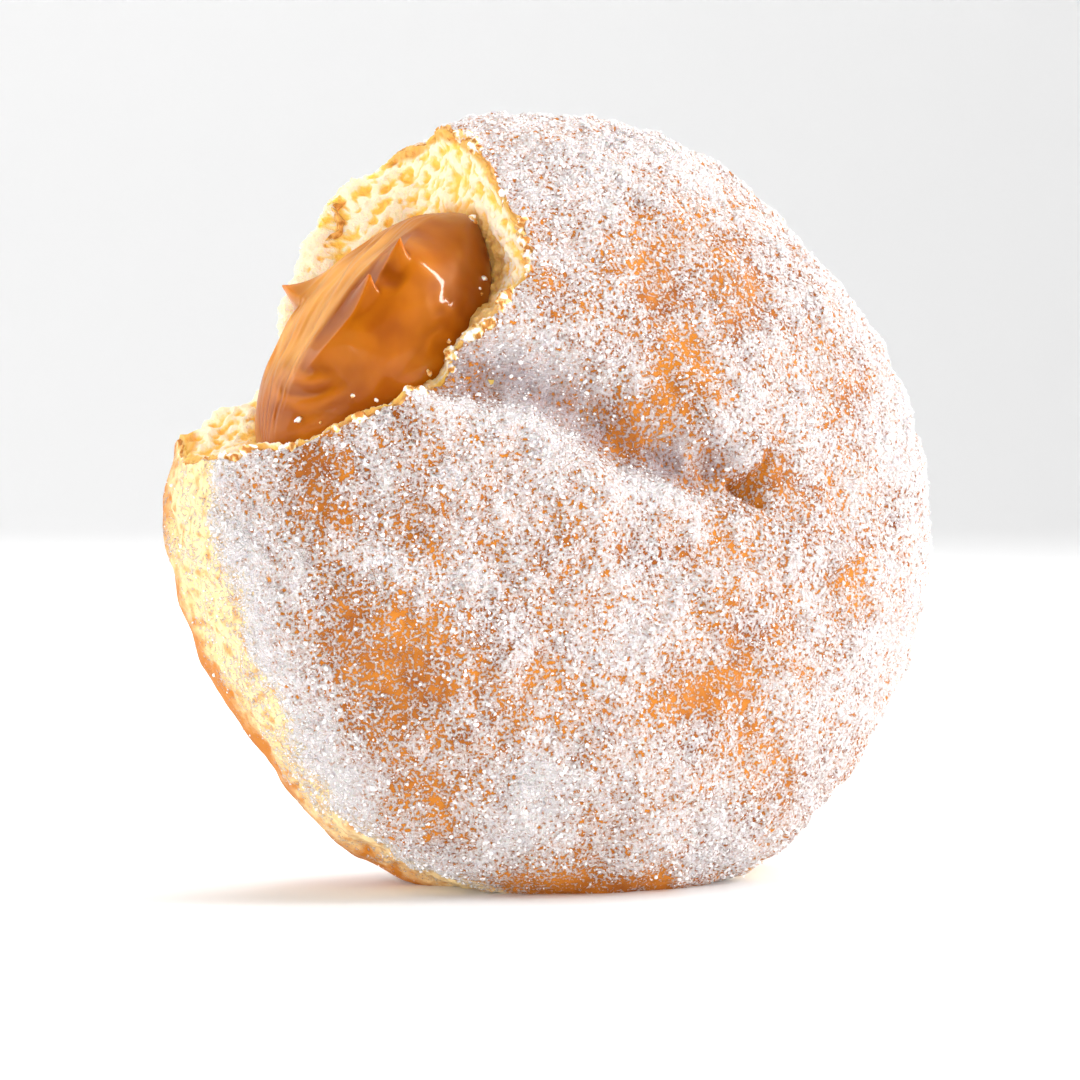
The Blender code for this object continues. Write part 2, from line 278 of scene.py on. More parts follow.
def sugar_cover(point):
    """How much of the crust the sugar hides at a point, from bare at 0 to deep powder at 1."""
    cover = SUGAR_COVER + sum(depth * noise.noise(point / size) for size, depth in SUGAR_DRIFTS)
    # Whiter towards the right and on the upper right rim: more sugar, and painted light where the lamps
    # fall
    cover += RIGHT_SIDE_SUGAR_AND_LIGHT * smooth_step(0.010, 0.035, point.x)
    upper_right = smooth_step(-0.020, 0.010, point.x + point.y)
    cover += RIM_SUGAR_AND_LIGHT * smooth_step(0.029, 0.040, point.xy.length) * upper_right
    if point.z > 0:
        for x, y, radius, change in SUGAR_PLACES:
            away = math.hypot(point.x - x, point.y - y)
            if away < 2.5 * radius:
                cover += PLACES_STRENGTH * change * bell(away, radius)
        if point.xy.length < FACE_MIDDLE_RADIUS:
            cover -= 0.8 * crack_share(point) + 0.35 * bell((point.xy - PIT_PLACE).length, PIT_RADIUS)
            nearest, side = line_distance(CREASE, point.xy)
            on_lip = smooth_step(0.014, 0.004, point.x) * bell(side + LIP_OFFSET, LIP_HALF_WIDTH)
            # Whiter along the lip: more sugar, and painted light on the raised crest
            cover += LIP_SUGAR_AND_LIGHT * on_lip
    cover = max(cover, LEAST_SUGAR)
    # Rubbed off where it stands, and thin just behind the waist
    cover -= 0.22 * smooth_step(-0.0410, -0.0434, point.y) + 0.25 * bell(point.z + 0.0060, 0.0045)
    edge = cap_edge(point)
    ragged = ragged_face(point)
    left_side = smooth_step(0.0, -0.020, point.x)
    cover += BAND_EDGE_SUGAR * bell(ragged - edge - 0.0016, 0.0034) * left_side
    beyond_edge = smooth_step(edge - 0.0002, edge - 0.0022, ragged)
    return cover - beyond_edge * (0.26 + 0.22 * smooth_step(0.014, 0.004, abs(point.z)))


def crease_shade(point):
    """Painted shade: how grey the sugar is made down in the crease, below its lip."""
    if point.z < 0 or point.xy.length > SHADED_CREASE_RADIUS:
        return 0.0
    nearest, side = line_distance(CREASE, point.xy)
    below_lip = smooth_step(-0.0030, -0.0010, side)
    blotched = 0.85 + 0.5 * noise.noise(point / 0.003)
    return bell(nearest, CREASE_HALF_WIDTH) * below_lip * blotched


def powder(point):
    """The squiggled surface of dusted sugar: high on its strands and low between them."""
    strands = 1 - 2.6 * abs(noise.noise(point / POWDER_SIZE))
    heaps = smooth_step(0.0, 0.45, noise.noise(point / HEAP_SIZE + Vector((0, 0, 7))))
    return 0.55 * strands + 0.35 * noise.noise(point / (2.3 * POWDER_SIZE)) + 0.90 * heaps


def flakes(point):
    """The rough, cracked skin of the pale waist."""
    edge = cap_edge(point)
    band = smooth_step(edge + 0.001, edge - 0.001, point.z) * smooth_step(-0.004, 0.0, point.z)
    torn = noise.ridged_multi_fractal(point / FLAKE_SIZE, 0.8, 2.2, 3, 1.0, 2.0)
    return band * (0.00050 * (torn - 1.2) + 0.00024 * noise.noise(point / FLECK_SIZE) - 0.0003)


def toast(point):
    """How brown the crust is fried, from the pale waist at 0 to the darkest patches at 1."""
    edge = cap_edge(point)
    ragged = ragged_face(point)
    front = smooth_step(edge - 0.0002, edge + 0.0036, ragged)
    back = smooth_step(0.0004, -0.0110, ragged) ** 0.7
    mottled = 0.62 + 0.30 * noise.noise(point / 0.007) + 0.22 * noise.noise(point / 0.0022)
    flecks = smooth_step(0.10, 0.50, noise.noise(point / FLECK_SIZE))
    return max(front, back) * mottled + (1 - max(front, back)) * flecks * 0.18


def store(mesh, name, values):
    """Keeps one number for each vertex, for the materials to read."""
    attribute = mesh.attributes.new(name, "FLOAT", "POINT")
    attribute.data.foreach_set("value", np.asarray(values, dtype=np.float32))


def piece_from(bm, name, materials):
    """A finished piece from a bmesh in the bun's axes: stood up, smooth, with its materials."""
    bm.transform(bun_matrix())
    mesh = bpy.data.meshes.new(name)
    bm.to_mesh(mesh)
    bm.free()
    mesh.shade_smooth()
    for material in materials:
        mesh.materials.append(material)
    obj = bpy.data.objects.new(name, mesh)
    bpy.context.scene.collection.objects.link(obj)
    return obj


def boolean(obj, other, operation):
    """Cuts or joins a piece by another closed piece, which is then removed."""
    modifier = obj.modifiers.new(operation.title(), "BOOLEAN")
    modifier.operation = operation
    modifier.object = other
    modifier.solver = "MANIFOLD"
    modifier.material_mode = "TRANSFER"
    graph = bpy.context.evaluated_depsgraph_get()
    made = bpy.data.meshes.new_from_object(obj.evaluated_get(graph))
    obj.modifiers.clear()
    obj.data = made
    bpy.data.objects.remove(other)


def bun_places(mesh):
    """A mesh's vertices back in the bun's axes, as vectors."""
    back = bun_matrix().inverted()
    return [back @ vertex.co for vertex in mesh.vertices]


def new_material(name):
    """A new material, its node tree and its shader."""
    material = bpy.data.materials.new(name)
    material.use_nodes = True
    return material, material.node_tree, material.node_tree.nodes["Principled BSDF"]


def set_finish(shader, **values):
    """Sets constant values on the shader's own sockets, by their names."""
    for name, value in values.items():
        shader.inputs[name.replace("_", " ")].default_value = value


def let_light_in(shader, share, reach, size):
    """Lets a share of the light soak in, each colour as far as its reach times a size."""
    set_finish(shader, Subsurface_Weight=share, Subsurface_Radius=reach, Subsurface_Scale=size)


def add_node(tree, kind, settings=(), **values):
    """Adds a node, gives it its settings, and fills or links its inputs by name."""
    node = tree.nodes.new(kind)
    for name, value in dict(settings).items():
        setattr(node, name, value)
    for name, value in values.items():
        key = int(name[1:]) if name[1:].isdigit() else name.replace("_", " ")
        socket = node.inputs[key]
        if isinstance(value, bpy.types.NodeSocket):
            tree.links.new(value, socket)
        else:
            socket.default_value = value
    return node


def read_attribute(tree, name):
    return add_node(tree, "ShaderNodeAttribute", {"attribute_name": name}).outputs["Fac"]


def mix_colours(tree, share, first, second):
    """Blends two colours, each a value or a socket."""
    node = add_node(tree, "ShaderNodeMix", {"data_type": "RGBA"}, i0=share)
    for socket, value in ((node.inputs[6], first), (node.inputs[7], second)):
        if isinstance(value, bpy.types.NodeSocket):
            tree.links.new(value, socket)
        else:
            socket.default_value = (*value, 1)
    return node.outputs[2]


def do_math(tree, operation, first, second=0.0, third=0.0):
    node = add_node(tree, "ShaderNodeMath", {"operation": operation}, i0=first, i1=second, i2=third)
    return node.outputs[0]


def ramp(tree, value, low, high):
    """Turns a value into a share, smoothly from 0 at low to 1 at high."""
    smooth = {"interpolation_type": "SMOOTHSTEP"}
    node = add_node(tree, "ShaderNodeMapRange", smooth, Value=value, From_Min=low, From_Max=high)
    return node.outputs["Result"]


def noise_pattern(tree, scale, detail, roughness=0.5):
    """A cloudy pattern fixed to the piece, at so many clouds a metre."""
    place = add_node(tree, "ShaderNodeTexCoord").outputs["Object"]
    node = add_node(tree, "ShaderNodeTexNoise", Vector=place, Scale=scale, Detail=detail)
    node.inputs["Roughness"].default_value = roughness
    return node.outputs["Fac"]


def add_bump(tree, shader, height, distance, strength=1.0):
    bump = add_node(tree, "ShaderNodeBump", Strength=strength, Distance=distance, Height=height)
    tree.links.new(bump.outputs["Normal"], shader.inputs["Normal"])


def make_powder_group():
    """Powdered sugar over whatever it lies on: from how much there is, a ragged mask and a height."""
    group = bpy.data.node_groups.new("Dusted sugar", "ShaderNodeTree")
    group.interface.new_socket("Cover", in_out="INPUT", socket_type="NodeSocketFloat")
    group.interface.new_socket("Grain Size", in_out="INPUT", socket_type="NodeSocketFloat")
    group.interface.new_socket("Mask", in_out="OUTPUT", socket_type="NodeSocketFloat")
    group.interface.new_socket("Height", in_out="OUTPUT", socket_type="NodeSocketFloat")
    group.interface.new_socket("Thick", in_out="OUTPUT", socket_type="NodeSocketFloat")
    source = group.nodes.new("NodeGroupInput")
    scale = do_math(group, "DIVIDE", 1.0, source.outputs["Grain Size"])
    fine = noise_pattern(group, scale, 2.0, 0.6)
    strands = noise_pattern(group, do_math(group, "MULTIPLY", scale, 0.42), 1.0)
    ridge = do_math(group, "ABSOLUTE", do_math(group, "SUBTRACT", strands, 0.5))
    ridge = do_math(group, "MULTIPLY_ADD", ridge, -4.5, 0.40)
    grain = do_math(group, "MULTIPLY_ADD", fine, 2.7, -1.35)
    raised = do_math(group, "ADD", do_math(group, "MULTIPLY", ridge, 0.60), grain)
    level = do_math(group, "ADD", source.outputs["Cover"], raised)
    target = group.nodes.new("NodeGroupOutput")
    group.links.new(ramp(group, level, 0.46, 0.56), target.inputs["Mask"])
    group.links.new(raised, target.inputs["Height"])
    group.links.new(ramp(group, level, 0.54, 1.30), target.inputs["Thick"])
    return group


powder_group = make_powder_group()


def add_powder(tree, cover, grain_size):
    node = tree.nodes.new("ShaderNodeGroup")
    node.node_tree = powder_group
    tree.links.new(cover, node.inputs["Cover"])
    node.inputs["Grain Size"].default_value = grain_size
    return node.outputs["Mask"], node.outputs["Height"], node.outputs["Thick"]


PALE_CRUST = (0.93, 0.72, 0.38)
GOLDEN_CRUST = (0.54, 0.180, 0.014)
BROWN_CRUST = (0.24, 0.056, 0.005)
SUGAR_WHITE = (0.89, 0.83, 0.825)
SHADED_SUGAR = (0.52, 0.43, 0.445)
SUGAR_SPECK_SIZE = 0.00034
SUGAR_BUMP = 0.00050


def make_crust_material():
    """Fried crust under dusted sugar, as the crust's own numbers say."""
    material, tree, shader = new_material("sugared_crust")
    mottle = noise_pattern(tree, 900.0, 4.0, 0.65)
    fried = do_math(tree, "MULTIPLY_ADD", mottle, 0.5, read_attribute(tree, "toast"))
    golden = mix_colours(tree, ramp(tree, fried, 0.15, 0.60), PALE_CRUST, GOLDEN_CRUST)
    brown = mix_colours(tree, ramp(tree, fried, 0.65, 1.25), golden, BROWN_CRUST)
    mask, height, thick = add_powder(tree, read_attribute(tree, "sugar"), SUGAR_SPECK_SIZE)
    # Down in the crease the sugar is greyed with painted shade
    whole = mix_colours(tree, read_attribute(tree, "dull"), SUGAR_WHITE, SHADED_SUGAR)
    # Thin sugar, low between the powder's strands, is half crust colour: the crust showing through it,
    # and painted shade between the strands
    thin = mix_colours(tree, 0.48, brown, whole)
    sugar = mix_colours(tree, thick, thin, whole)
    tree.links.new(mix_colours(tree, mask, brown, sugar), shader.inputs["Base Color"])
    rough = do_math(tree, "MULTIPLY_ADD", mask, 0.30, 0.62)
    tree.links.new(rough, shader.inputs["Roughness"])
    add_bump(tree, shader, do_math(tree, "MULTIPLY_ADD", height, mask, mask), SUGAR_BUMP)
    set_finish(shader, Specular_IOR_Level=0.28)
    let_light_in(shader, 0.12, (1.0, 0.6, 0.35), 0.0010)
    return material


def make_cut_crust_material():
    """The crust's own thickness where the bite went through it: orange brown, paler inwards."""
    material, tree, shader = new_material("cut_crust")
    mottle = noise_pattern(tree, 1400.0, 3.0)
    colour = mix_colours(tree, ramp(tree, mottle, 0.35, 0.65), (0.42, 0.15, 0.020), (0.78, 0.42, 0.12))
    tree.links.new(colour, shader.inputs["Base Color"])
    add_bump(tree, shader, mottle, 0.0002, 0.8)
    set_finish(shader, Roughness=0.7)
    let_light_in(shader, 0.3, (1.0, 0.5, 0.15), 0.0015)
    return material


crust_material = make_crust_material()
cut_crust_material = make_cut_crust_material()


def make_bun(subdivisions, inset, powdered=True):
    """The whole bun in its own axes, its crust's relief on it, taken in by an inset."""
    bm = bmesh.new()
    bmesh.ops.create_icosphere(bm, subdivisions=subdivisions, radius=1)
    for vertex in bm.verts:
        vertex.co = bun_point(vertex.co)
    bm.normal_update()
    for vertex in bm.verts:
        place = vertex.co
        height = crust_relief(place) + flakes(place) - inset
        if powdered:
            height += POWDER_HEIGHT * powder(place) * min(1.5, max(0.15, 1.1 * sugar_cover(place)))
        sunk = 0.0
        if place.z > 0.004:
            sunk = smooth_step(0.004, 0.018, place.z) * sunk_depth(place)
            if place.xy.length < FACE_MIDDLE_RADIUS:
                sunk += slipped_depth(place) + CRACK_DEPTH * crack_share(place)
        vertex.co = place + vertex.normal * height - Vector((0, 0, sunk))
    return bm


def keep_side(bm, place, outward, material_index=0):
    """Keeps what is on the inner side of a plane, and closes the cut."""
    everything = [*bm.verts, *bm.edges, *bm.faces]
    cut = bmesh.ops.bisect_plane(
        bm, geom=everything, plane_co=place, plane_no=outward, clear_outer=True, dist=0.0000001
    )
    edges = [item for item in cut["geom_cut"] if isinstance(item, bmesh.types.BMEdge)]
    filled = bmesh.ops.holes_fill(bm, edges=edges)
    for face in bmesh.ops.triangulate(bm, faces=filled["faces"])["faces"]:
        face.material_index = material_index


# The bite, with directions of its own. Its front and back edges and the ridge between them are
# points (along, out), and the torn face between them is scooped.
BITE_ANGLE = math.radians(140)
OUT = Vector((math.cos(BITE_ANGLE), math.sin(BITE_ANGLE), 0))
ALONG = Vector((math.sin(BITE_ANGLE), -math.cos(BITE_ANGLE), 0))
FACE = Vector((0, 0, 1))
FRONT_EDGE = (
    (-0.0270, 0.0400),
    (-0.0239, 0.0330),
    (-0.0210, 0.0296),
    (-0.0161, 0.0255),
    (-0.0092, 0.0219),
    (-0.0030, 0.0193),
    (0.0060, 0.0196),
    (0.0105, 0.0190),
    (0.0135, 0.0202),
    (0.0164, 0.0240),
    (0.0200, 0.0283),
    (0.0243, 0.0345),
    (0.0270, 0.0420),
)
RIDGE = (
    (-0.0270, 0.0410),
    (-0.0238, 0.0372),
    (-0.0150, 0.0345),
    (-0.0115, 0.0322),
    (-0.0070, 0.0325),
    (0.0007, 0.0368),
    (0.0121, 0.0400),
    (0.0246, 0.0362),
    (0.0280, 0.0420),
)
BACK_EDGE = (
    (-0.0265, 0.0400),
    (-0.0220, 0.0330),
    (-0.0120, 0.0272),
    (-0.0010, 0.0298),
    (0.0100, 0.0268),
    (0.0200, 0.0315),
    (0.0265, 0.0420),
)
RIDGE_FACE = -0.0030
FRONT_EDGE_FACE = 0.0210
BACK_EDGE_FACE = -0.0200
SCOOP_POWER = 3.2
CRAG_HEIGHT = 0.0009
CRAG_SIZE = 0.0048
PORE_DEPTH = 0.0006
PORE_SPACING = 0.0028
# The powder's own height is taken off the smooth crust, and the crumb is let into the cut crust
POWDER_ROOM = 0.00048
CRUMB_HOLLOW = 0.0022
CRUST_SUNK = 0.0002
BITE_HALF_ALONG = 0.0320
BITE_LOW_FACE = -0.0270
BITE_HIGH_FACE = 0.0290
BITE_FAR_OUT = 0.0600


def from_bite(along, out, face):
    """A point given by its place in the bite, in the bun's own axes."""
    return ALONG * along + OUT * out + FACE * face


def between(points, place):
    """Reads an edge's "out" at a place along it."""
    for (start, low), (end, high) in zip(points, points[1:]):
        if place <= end:
            share = max(0.0, (place - start) / (end - start))
            return low + (high - low) * share
    return points[-1][1]


def bite_out(along, face):
    """How far out from the middle the bitten crumb reaches, at a place on the bite."""
    ridge = between(RIDGE, along)
    if face > RIDGE_FACE:
        share = min(1.0, (face - RIDGE_FACE) / (FRONT_EDGE_FACE - RIDGE_FACE))
        scoop = 1 - (1 - share) ** SCOOP_POWER
        return ridge + (between(FRONT_EDGE, along) - ridge) * scoop
    share = min(1.0, (RIDGE_FACE - face) / (RIDGE_FACE - BACK_EDGE_FACE))
    return ridge + (between(BACK_EDGE, along) - ridge) * share


def torn_relief(point):
    """The main crags and hollows of the torn crumb."""
    crags = CRAG_HEIGHT * noise.fractal(point / CRAG_SIZE, 0.9, 2.0, 2)
    nearest = noise.voronoi(point / PORE_SPACING)[0][0]
    return crags - PORE_DEPTH * smooth_step(0.45, 0.10, nearest)


def under_crust(point):
    """How far a point lies inside the crust's surface, roughly, in metres."""
    angle = math.atan2(point.y, point.x)
    rise = FRONT_RISE if point.z > 0 else BACK_RISE
    plan = (point.xy.length / rim_radius(angle)) ** (2 / PLAN_FULLNESS)
    side = (abs(point.z) / rise) ** (2 / SIDE_FULLNESS)
    sunk = smooth_step(0.004, 0.018, point.z) * sunk_depth(point)
    return (1 - (plan + side) ** 0.42) * 0.030 + crust_relief(point) - POWDER_ROOM - sunk


def rough_edge_relief(point):
    """The crust's torn edge, and inside it the hollow that the crumb fills."""
    torn = 0.00045 * noise.noise(point / 0.0011) + 0.0002 * noise.noise(point / 0.0005)
    hollow = CRUMB_HOLLOW * smooth_step(0.0006, 0.0020, under_crust(point))
    return torn_relief(point) + torn - hollow


def bitten_sheet(relief, sunk, along_steps, face_steps):
    """The bitten surface as a grid over the bite, moved by a relief and sunk into the dough."""
    bm = bmesh.new()
    bmesh.ops.create_grid(bm, x_segments=along_steps, y_segments=face_steps, size=1)
    for vertex in bm.verts:
        along = BITE_HALF_ALONG * vertex.co.x
        face = BITE_LOW_FACE + (BITE_HIGH_FACE - BITE_LOW_FACE) * (vertex.co.y + 1) / 2
        vertex.co = from_bite(along, bite_out(along, face), face)
    bm.normal_update()
    for vertex in bm.verts:
        vertex.co -= vertex.normal * (relief(vertex.co) - sunk)
    return bm


def close_towards(bm, out):
    """Closes a bitten sheet into a block, by walls that run to a plane at a distance out."""
    border = [edge for edge in bm.edges if edge.is_boundary]
    wall = bmesh.ops.extrude_edge_only(bm, edges=border)
    far = [item for item in wall["geom"] if isinstance(item, bmesh.types.BMVert)]
    for vertex in far:
        vertex.co += OUT * (out - vertex.co.dot(OUT))
    rim = [edge for edge in bm.edges if edge.is_boundary]
    bmesh.ops.holes_fill(bm, edges=rim)
    bmesh.ops.triangulate(bm, faces=bm.faces)
    bmesh.ops.recalc_face_normals(bm, faces=bm.faces)


def make_crust_half(name, outward, whole):
    """One half of the crust, bitten, with what the crust's material reads."""
    half = whole.copy()
    keep_side(half, Vector(), outward, 1)
    piece = piece_from(half, name, [crust_material, cut_crust_material])
    block = bitten_sheet(rough_edge_relief, CRUST_SUNK, along_steps=240, face_steps=210)
    close_towards(block, BITE_FAR_OUT)
    cutter = piece_from(block, "bite_block", [cut_crust_material])
    boolean(piece, cutter, "DIFFERENCE")
    flattened = bmesh.new()
    flattened.from_mesh(piece.data)
    keep_side(flattened, Vector(), Vector((0, 0, -1)))
    flattened.to_mesh(piece.data)
    flattened.free()
    # No lump of sugar stands further out than the doughnut itself
    for vertex in piece.data.vertices:
        limits = zip(cad_low, cad_high, vertex.co)
        vertex.co = [min(high, max(low, value)) for low, high, value in limits]
    places = bun_places(piece.data)
    store(piece.data, "sugar", [sugar_cover(p) + 0.20 * powder(p) - 0.06 for p in places])
    store(piece.data, "toast", [toast(p) for p in places])
    # The grey of the painted shade down in the crease
    store(piece.data, "dull", [crease_shade(p) for p in places])
    piece.data.set_sharp_from_angle(angle=math.radians(55))
    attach(piece, "root")
    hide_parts("dough")
    return piece


whole_bun = make_bun(SHELL_SUBDIVISIONS, POWDER_ROOM)
front_crust = make_crust_half("crust_front", Vector((0, 0, -1)), whole_bun)
back_crust = make_crust_half("crust_back", Vector((0, 0, 1)), whole_bun)
whole_bun.free()

# The sugar's grains
# Powdered sugar doesn't lie as a smooth coat: it has clung together into small lumps all over the
# crust. They are strewn over it, closest where the sugar is deepest, as one mesh of each kind.
LUMP_COUNT = 7000
GRAIN_COUNT = 17000
BACK_LUMP_COUNT = LUMP_COUNT // 2
BACK_GRAIN_COUNT = GRAIN_COUNT * 2 // 3
ROOM_UNDER = 0.0006


def make_sugar_material():
    material, tree, shader = new_material("powdered_sugar")
    fine = noise_pattern(tree, 9000.0, 2.0)
    colour = mix_colours(tree, ramp(tree, fine, 0.3, 0.7), (0.88, 0.83, 0.82), (0.95, 0.91, 0.90))
    tree.links.new(colour, shader.inputs["Base Color"])
    add_bump(tree, shader, fine, 0.00005, 0.6)
    set_finish(shader, Roughness=0.85)
    let_light_in(shader, 0.3, (1.0, 0.9, 0.8), 0.0004)
    return material


def rough_ball(create, **settings):
    """A small closed shape's corners and faces, from one of the bmesh operators."""
    bm = bmesh.new()
    create(bm, radius=1, **settings)
    bmesh.ops.triangulate(bm, faces=bm.faces)
    corners = np.array([vertex.co[:] for vertex in bm.verts])
    faces = np.array([[vertex.index for vertex in face.verts] for face in bm.faces])
    bm.free()
    return corners, faces


def scatter(name, surface, likely, ball, count, sizes, seed, material, part=0, rough=0.22):
    """One mesh of many rough lumps, most of them small, where a surface's number is high.

    They go on the part of the surface that has the material of the given index.
    """
    draw = np.random.default_rng(seed)
    mesh = surface.data
    mesh.calc_loop_triangles()
    triangles = np.empty(len(mesh.loop_triangles) * 3, dtype=np.int32)
    mesh.loop_triangles.foreach_get("vertices", triangles)
    triangles = triangles.reshape(-1, 3)
    kinds = np.empty(len(triangles), dtype=np.int32)
    mesh.loop_triangles.foreach_get("material_index", kinds)
    places = np.empty(len(mesh.vertices) * 3, dtype=np.float32)
    mesh.vertices.foreach_get("co", places)
    first, second, third = (places.reshape(-1, 3)[triangles[:, corner]] for corner in range(3))
    across = np.cross(second - first, third - first)
    areas = np.linalg.norm(across, axis=1)
    off_floor = first[:, 2] > ROOM_UNDER
    wanted = likely[triangles].mean(axis=1) * areas * (kinds == part) * off_floor
    chosen = draw.choice(len(triangles), count, p=wanted / wanted.sum())
    shares = draw.random((count, 2))
    shares = np.where(shares.sum(axis=1, keepdims=True) > 1, 1 - shares, shares)
    normals = across[chosen] / np.maximum(areas[chosen], 1e-12)[:, None]
    middle = first[chosen] + shares[:, :1] * (second - first)[chosen]
    middle = middle + shares[:, 1:] * (third - first)[chosen]
    size = sizes[0] + (sizes[1] - sizes[0]) * draw.random(count) ** 2.2
    middle = middle + normals * size[:, None] * 0.15
    turns = np.linalg.qr(draw.normal(size=(count, 3, 3)))[0]
    corners, faces = ball
    stretch = draw.uniform(0.65, 1.25, (count, 1, 3))
    dents = draw.uniform(1 - rough, 1 + rough, (count, len(corners), 1))
    lumps = corners[None] * (stretch * dents) * size[:, None, None] / 2
    lumps = np.einsum("nij,nkj->nki", turns, lumps) + middle[:, None]
    lumps = np.clip(lumps, np.array(cad_low), np.array(cad_high))
    numbers = faces[None] + (np.arange(count) * len(corners))[:, None, None]
    flipped = np.linalg.det(turns) < 0
    numbers[flipped] = numbers[flipped][:, :, ::-1]
    scattered = bpy.data.meshes.new(name)
    scattered.from_pydata(lumps.reshape(-1, 3), [], numbers.reshape(-1, 3))
    scattered.shade_smooth()
    scattered.materials.append(material)
    obj = bpy.data.objects.new(name, scattered)
    bpy.context.scene.collection.objects.link(obj)
    return obj


def likely_from(mesh, bare, deep):
    """How likely a lump is at each vertex: where the sugar is deep, but seldom in the crease's painted
    shade.
    """
    cover = np.empty(len(mesh.vertices), dtype=np.float32)
    shaded = np.empty(len(mesh.vertices), dtype=np.float32)
    mesh.attributes["sugar"].data.foreach_get("value", cover)
    mesh.attributes["dull"].data.foreach_get("value", shaded)
    share = np.clip((cover - bare) / (deep - bare), 0, 1)
    return (share * share * (3 - 2 * share) + 0.02) * (1 - 0.8 * np.clip(shaded, 0, 1))


sugar_material = make_sugar_material()
lump_ball = rough_ball(bmesh.ops.create_icosphere, subdivisions=1)
grain_ball = rough_ball(bmesh.ops.create_uvsphere, u_segments=4, v_segments=2)
# Each kind: its name, where it lies, its shape, how many, their least and greatest size, the sugar
# cover at which they start and at which they are closest, and the seed
SUGAR_KINDS = (
    ("front_sugar_lumps", front_crust, lump_ball, LUMP_COUNT, (0.00022, 0.00052), 0.30, 0.95, 11),
    ("front_sugar_grains", front_crust, grain_ball, GRAIN_COUNT, (0.00014, 0.00032), 0.15, 0.80, 12),
    ("back_sugar_lumps", back_crust, lump_ball, BACK_LUMP_COUNT, (0.00022, 0.00050), 0.30, 0.95, 13),
    ("back_sugar_grains", back_crust, grain_ball, BACK_GRAIN_COUNT, (0.00014, 0.00032), 0.15, 0.80, 14),
)
for name, crust, ball, count, sizes, bare, deep, seed in SUGAR_KINDS:
    likely = likely_from(crust.data, bare, deep)
    grains = scatter(name, crust, likely, ball, count, sizes, seed, sugar_material)
    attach(grains, "root")
    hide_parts("dough")

# The crumb
# The soft inside of the yeast dough, torn by the teeth: pale yellow, springy and full of bubbles,
# deeper yellow where light shines through their walls, and brown where the filling soaks in and
# where painted shade falls beside the filling.
CRUST_THICKNESS = 0.00080
CRUMB_BACK = 0.0120
MOUND_MIDDLE = (-0.0010, 0.0250, 0.0060)
MOUND_RADII = (0.0185, 0.0103, 0.0110)
LARGE_BUBBLES = 0.0023
SMALL_BUBBLES = 0.0012
FIBRE_SIZE = 0.0014
FIBRE_HEIGHT = 0.00048
CRUMB_GRAIN_SIZE = 0.00055
CRUMB_GRAIN_HEIGHT = 0.00030


def bubble_depth(point, spacing, least, most):
    """Depth of torn open bubbles of mixed sizes, in a layer of the given spacing."""
    pulled = point + noise.noise_vector(point / (0.7 * spacing)) * (0.22 * spacing)
    distances, centres = noise.voronoi(pulled / spacing)
    radius = least + (most - least) * noise.cell(centres[0] * 7.3)
    if distances[0] >= radius:
        return 0.0
    return spacing * 0.8 * math.sqrt(radius * radius - distances[0] ** 2)


def crumb_relief(point):
    """Torn crumb in full: crags and pores, bubbles of two sizes, torn fibres and fine grain."""
    height = torn_relief(point)
    height -= 0.5 * bubble_depth(point, LARGE_BUBBLES, -0.25, 0.36)
    height -= 0.9 * bubble_depth(point + Vector((0.1, 0, 0)), SMALL_BUBBLES, -0.05, 0.50)
    torn = Vector((point.dot(ALONG) * 0.55, point.dot(OUT), point.z * 0.8))
    fibres = noise.ridged_multi_fractal(torn / FIBRE_SIZE, 0.7, 2.2, 3, 1.0, 2.0)
    height += FIBRE_HEIGHT * (fibres - 0.875)
    height += CRUMB_GRAIN_HEIGHT * noise.noise(torn / CRUMB_GRAIN_SIZE)
    return height


def hollow_shares(mesh, rounds, full_depth):
    """How far each vertex lies in a hollow, from its neighbours' mean place: 0 flat, 1 deep."""
    count = len(mesh.vertices)
    places = np.empty(count * 3, dtype=np.float32)
    mesh.vertices.foreach_get("co", places)
    places = places.reshape(-1, 3).astype(np.float64)
    normals = np.empty(count * 3, dtype=np.float32)
    mesh.vertex_normals.foreach_get("vector", normals)
    ends = np.empty(len(mesh.edges) * 2, dtype=np.int32)
    mesh.edges.foreach_get("vertices", ends)
    first, second = ends[0::2], ends[1::2]
    ways = np.bincount(ends, minlength=count)[:, None]
    smooth = places.copy()
    for _ in range(rounds):
        total = np.zeros((count, 3))
        for axis in range(3):
            total[:, axis] += np.bincount(first, smooth[second, axis], count)
            total[:, axis] += np.bincount(second, smooth[first, axis], count)
        smooth = total / np.maximum(ways, 1)
    depth = ((smooth - places) * normals.reshape(-1, 3)).sum(axis=1)
    return np.clip(depth / full_depth, -1, 1)


def fix_order(bm):
    """Puts the faces in one fixed order, so that the same crumb is cut from them in every run."""
    bm.verts.index_update()
    faces = []
    for face in bm.faces:
        corners = [vertex.index for vertex in face.verts]
        lowest = corners.index(min(corners))
        faces.append(corners[lowest:] + corners[:lowest])
    places = [vertex.co.copy() for vertex in bm.verts]
    bm.clear()
    made = [bm.verts.new(place) for place in places]
    for corners in sorted(faces):
        bm.faces.new([made[index] for index in corners])


def near_filling(point):
    """How close a point is to the mound of filling: 1 on it, and 0 a few millimetres away."""
    place = (point.dot(ALONG), point.dot(OUT), point.z)
    reach = sum(((place[i] - MOUND_MIDDLE[i]) / MOUND_RADII[i]) ** 2 for i in range(3))
    # The crumb near the filling is browned where the filling soaks in, and beside the mound with
    # painted shade
    soaked_and_shaded = smooth_step(1.17, 1.0, math.sqrt(reach))
    beside = smooth_step(0.010, 0.015, place[2]) * bell(place[0] - 0.0050, 0.0050)
    return max(soaked_and_shaded, 0.8 * beside)


PALE_CRUMB = (0.93, 0.75, 0.53)
YELLOW_CRUMB = (0.96, 0.66, 0.28)
BUBBLE_YELLOW = (1.0, 0.58, 0.11)
SOAKED_AND_SHADED_CRUMB = (0.74, 0.40, 0.11)
FRIED_CRUMB = (0.74, 0.38, 0.09)


